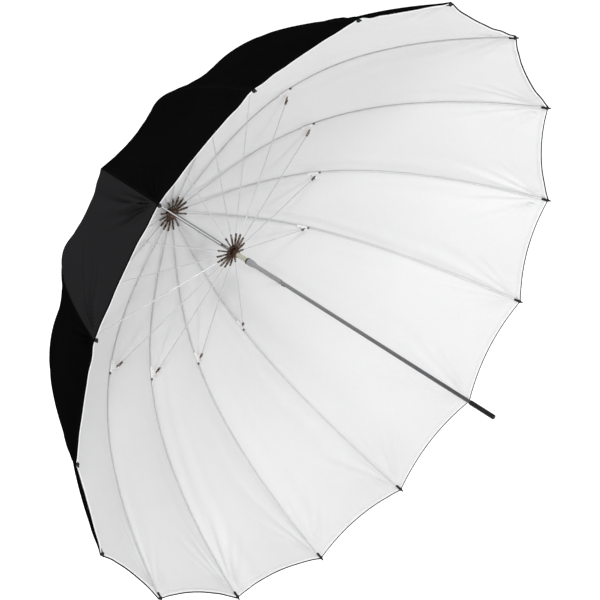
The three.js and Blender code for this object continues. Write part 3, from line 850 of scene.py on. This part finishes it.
def cloth_grid(number, lift, hem_lift):
    """Rows of points and of flat places for one sector."""
    folds = {1: gore_folds(number, 1), -1: gore_folds(number, -1)}
    columns = cloth_columns(number)
    points, flat = [], []
    for t in cloth_rows(number):
        row = [cloth_point(number, folds[1 if side >= 0 else -1], t, side, lift, hem_lift) for side in columns]
        points.append([p for p, _ in row])
        flat.append([uv for _, uv in row])
    return np.array(points), np.array(flat)


def grid_normals(points):
    """Unit normals that point away from the bowl's inside."""
    down = np.gradient(points, axis=0)
    across = np.gradient(points, axis=1)
    normals = np.cross(across, down)
    normals /= np.maximum(np.linalg.norm(normals, axis=2, keepdims=True), 1e-12)
    outward = np.sign(normals[len(points) // 2, :, 1].mean()) or 1.0
    return normals * outward


def shell(points, thickness):
    """A closed skin: the grid and a copy that far outside it. Gives points, faces and grid indices."""
    rows, columns = points.shape[:2]
    outside = points + grid_normals(points) * thickness
    everything = np.concatenate([points.reshape(-1, 3), outside.reshape(-1, 3)])
    count = rows * columns
    faces = []
    for i in range(rows - 1):
        for j in range(columns - 1):
            a, b = i * columns + j, (i + 1) * columns + j
            faces.append((a, a + 1, b + 1, b))
            faces.append((count + a, count + b, count + b + 1, count + a + 1))
    edge = list(range(columns)) + [i * columns + columns - 1 for i in range(1, rows)]
    edge += [(rows - 1) * columns + j for j in range(columns - 2, -1, -1)]
    edge += [i * columns for i in range(rows - 2, 0, -1)]
    for a, b in zip(edge, edge[1:] + edge[:1]):
        faces.append((a, count + a, count + b, b))
    return everything, faces


def rolled_edge(points, half_along, half_out, shift, past):
    """A rolled edge along the hem, from the last rows of a grid, that far past it."""
    normals = grid_normals(points)[-1]
    rings = []
    for here, inner, normal in zip(points[-1], points[-3], normals):
        along = here - inner
        along /= np.linalg.norm(along)
        rings.append([Vector(here + along * (x * half_along + past) + normal * (y * half_out + shift))
                      for x, y in circle(1.0, 10)])
    return skinned(rings)


def painted_sheen_marks(number, columns):
    """The painted sheen: 1 for each column in the sheen gore, 0 for the others."""
    return [1.0 if in_sheen_gore(number, side) else 0.0 for side in columns]


def cloth_piece(name, number, lift, thickness, material, edge_material, slot, nodes, edge, hem_lift):
    """One cloth of a sector, with its rolled edge: it rides on its rib."""
    points, flat = cloth_grid(number, lift, hem_lift)
    everything, faces = shell(points, thickness)
    mesh = bpy.data.meshes.new(name)
    matrix = rib_frame(number)
    parts = [Vector(p) for p in everything]
    grid_count = len(parts)
    extra_points, extra_faces = rolled_edge(points, *edge)
    faces = faces + [tuple(i + grid_count for i in face) for face in extra_faces]
    parts += extra_points
    mesh.from_pydata([matrix @ p for p in parts], [], faces)
    places = np.concatenate([flat.reshape(-1, 2)] * 2 + [np.zeros((len(parts) - grid_count, 2))])
    uv = mesh.uv_layers.new(name="cloth")
    corners = np.zeros(len(mesh.loops), np.int32)
    mesh.loops.foreach_get("vertex_index", corners)
    uv.data.foreach_set("uv", places[corners].astype(np.float32).ravel())
    # painted sheen, marked on the black cloth's points only
    painted_sheen = mesh.attributes.new("painted_sheen", "FLOAT", "POINT")
    one = np.tile(painted_sheen_marks(number, cloth_columns(number)), len(points))
    painted_sheen_values = np.concatenate([one, one, np.zeros(len(parts) - grid_count)])
    painted_sheen.data.foreach_set("value", (painted_sheen_values if slot == "canopy_black" else painted_sheen_values * 0).astype(np.float32))
    bm = bmesh.new()
    bm.from_mesh(mesh)
    bmesh.ops.recalc_face_normals(bm, faces=bm.faces)
    for face in bm.faces:
        face.smooth = True
    for e in bm.edges:
        e.smooth = len(e.link_faces) != 2 or e.calc_face_angle(0) < math.radians(50)
    bm.to_mesh(mesh)
    bm.free()
    mesh.materials.append(material)
    mesh.materials.append(edge_material)
    skin_faces = len(faces) - len(extra_faces)
    for face in mesh.polygons[skin_faces:]:
        face.material_index = 1
    piece = bpy.data.objects.new(name, mesh)
    bpy.context.scene.collection.objects.link(piece)
    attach(piece, f"rib_{number:02d}")
    if nodes:
        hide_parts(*nodes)
    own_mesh(piece)
    return piece


def canopy():
    """The white lining and the black cover, a sector of each over every rib."""
    for number in range(1, RIBS + 1):
        cloth_piece(f"canopy_white_{number:02d}", number, 0.0, WHITE_THICKNESS, white_cloth, white_tape,
                    "canopy_fabric", [f"canopy_panel_{number:02d}"],
                    (1.7 * MM, 1.5 * MM, -0.7 * MM, -1.2 * MM), -HEM_FOLD_RISE)
        cloth_piece(f"canopy_black_{number:02d}", number, BLACK_LIFT, BLACK_THICKNESS, black_cloth, black_cloth,
                    "canopy_black", [], (1.6 * MM, 1.1 * MM, 0.3 * MM, 0.9 * MM), HEM_FOLD_RISE)


# ---------------------------------------------------------------- stage

VIEW_AZIMUTH = -44.4  # degrees
VIEW_ELEVATION = 38.6
LIGHT_DISTANCE = 4.5


def studio():
    """A pale floor far below, soft light all round, two key lights, a fill, a top light and a rim light."""
    world = bpy.data.worlds.new("studio")
    bpy.context.scene.world = world
    world.use_nodes = True
    background = world.node_tree.nodes["Background"]
    background.inputs["Color"].default_value = (1, 1, 1, 1)
    background.inputs["Strength"].default_value = 0.34

    floor_mesh = bpy.data.meshes.new("floor")
    reach, level = 40.0, -2.4
    floor_mesh.from_pydata([(-reach, -reach, level), (reach, -reach, level), (reach, reach, level),
                            (-reach, reach, level)], [], [(0, 1, 2, 3)])
    floor = bpy.data.objects.new("floor", floor_mesh)
    bpy.context.scene.collection.objects.link(floor)
    n = Nodes("floor_paint", (0.95, 0.95, 0.95), 0.9)
    n.set("Emission Color", (1, 1, 1, 1))
    n.set("Emission Strength", 0.69)
    grain = n.noise(3, 3, 0.5)
    n.link(n.ramp(grain, [(0.3, (0.94, 0.94, 0.94)), (0.7, (0.96, 0.96, 0.96))]), n.shader.inputs["Base Color"])
    floor_mesh.materials.append(n.material)

    back, right, up = view_axes()
    soft_light("key", back + right * 0.37 - up * 0.05, 0.45, 46)
    soft_light("second_key", back + right * 0.06 + up * 0.3, 0.6, 52)
    soft_light("fill", back - right * 0.25 + up * 0.2, 1.2, 30)
    soft_light("top_light", back + right * 0.1 + up * 0.6, 1.6, 34)
    soft_light("rim_light", up * 0.8 - right * 0.7 - back * 0.4, 0.8, 125)


def soft_light(name, direction, size, power):
    """A round area light, size in metres and power in watts, that faces the bowl from that direction."""
    light = bpy.data.lights.new(name, "AREA")
    light.shape = "DISK"
    light.size = size
    light.energy = power
    lamp = bpy.data.objects.new(name, light)
    bpy.context.scene.collection.objects.link(lamp)
    direction = direction.normalized()
    lamp.location = Vector((0, 0.45, 0)) + direction * LIGHT_DISTANCE
    lamp.rotation_mode = "QUATERNION"
    lamp.rotation_quaternion = (-direction).to_track_quat("-Z", "Y")


def view_axes():
    """Unit directions from the bowl to the eye, to the picture's right and to its top."""
    azimuth, elevation = math.radians(VIEW_AZIMUTH), math.radians(VIEW_ELEVATION)
    back = Vector((math.sin(azimuth) * math.cos(elevation), -math.cos(azimuth) * math.cos(elevation),
                   math.sin(elevation)))
    right = Vector((math.cos(azimuth), math.sin(azimuth), 0))
    return back, right, back.cross(right)


def camera():
    """Looks into the open bowl from the front left and above, with a long lens."""
    distance, right_shift, up_shift = 3.676, -0.0726, 0.0344
    back, right, up = view_axes()
    lens = bpy.data.cameras.new("camera")
    lens.lens = 108.1
    lens.sensor_width = 36
    lens.clip_end = 200
    eye = bpy.data.objects.new("camera", lens)
    bpy.context.scene.collection.objects.link(eye)
    eye.location = Vector((0, RIM_Y, 0)) + back * distance + right * right_shift + up * up_shift
    eye.rotation_mode = "QUATERNION"
    eye.rotation_quaternion = Matrix((right, up, back)).transposed().to_quaternion()
    bpy.context.scene.camera = eye


def build():
    shaft()
    hub_top()
    slotted_ring("notch_ring", HUB_Y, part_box("top_notch")[1].y, "root", "top_notch")
    slotted_ring("crown_ring", RUNNER_Y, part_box("runner_crown")[1].y, "runner", "runner_crown",
                 socket=11 * MM)
    pivot_wire("notch_wire", HUB_Y, "root", "top_notch_wire")
    pivot_wire("crown_wire", RUNNER_Y, "runner", "runner_wire")
    runner()
    catch()
    for number in range(1, RIBS + 1):
        rib(number)
        stretcher(number)
    canopy()
    studio()
    camera()
    bpy.context.scene.view_settings.view_transform = "Standard"


build()
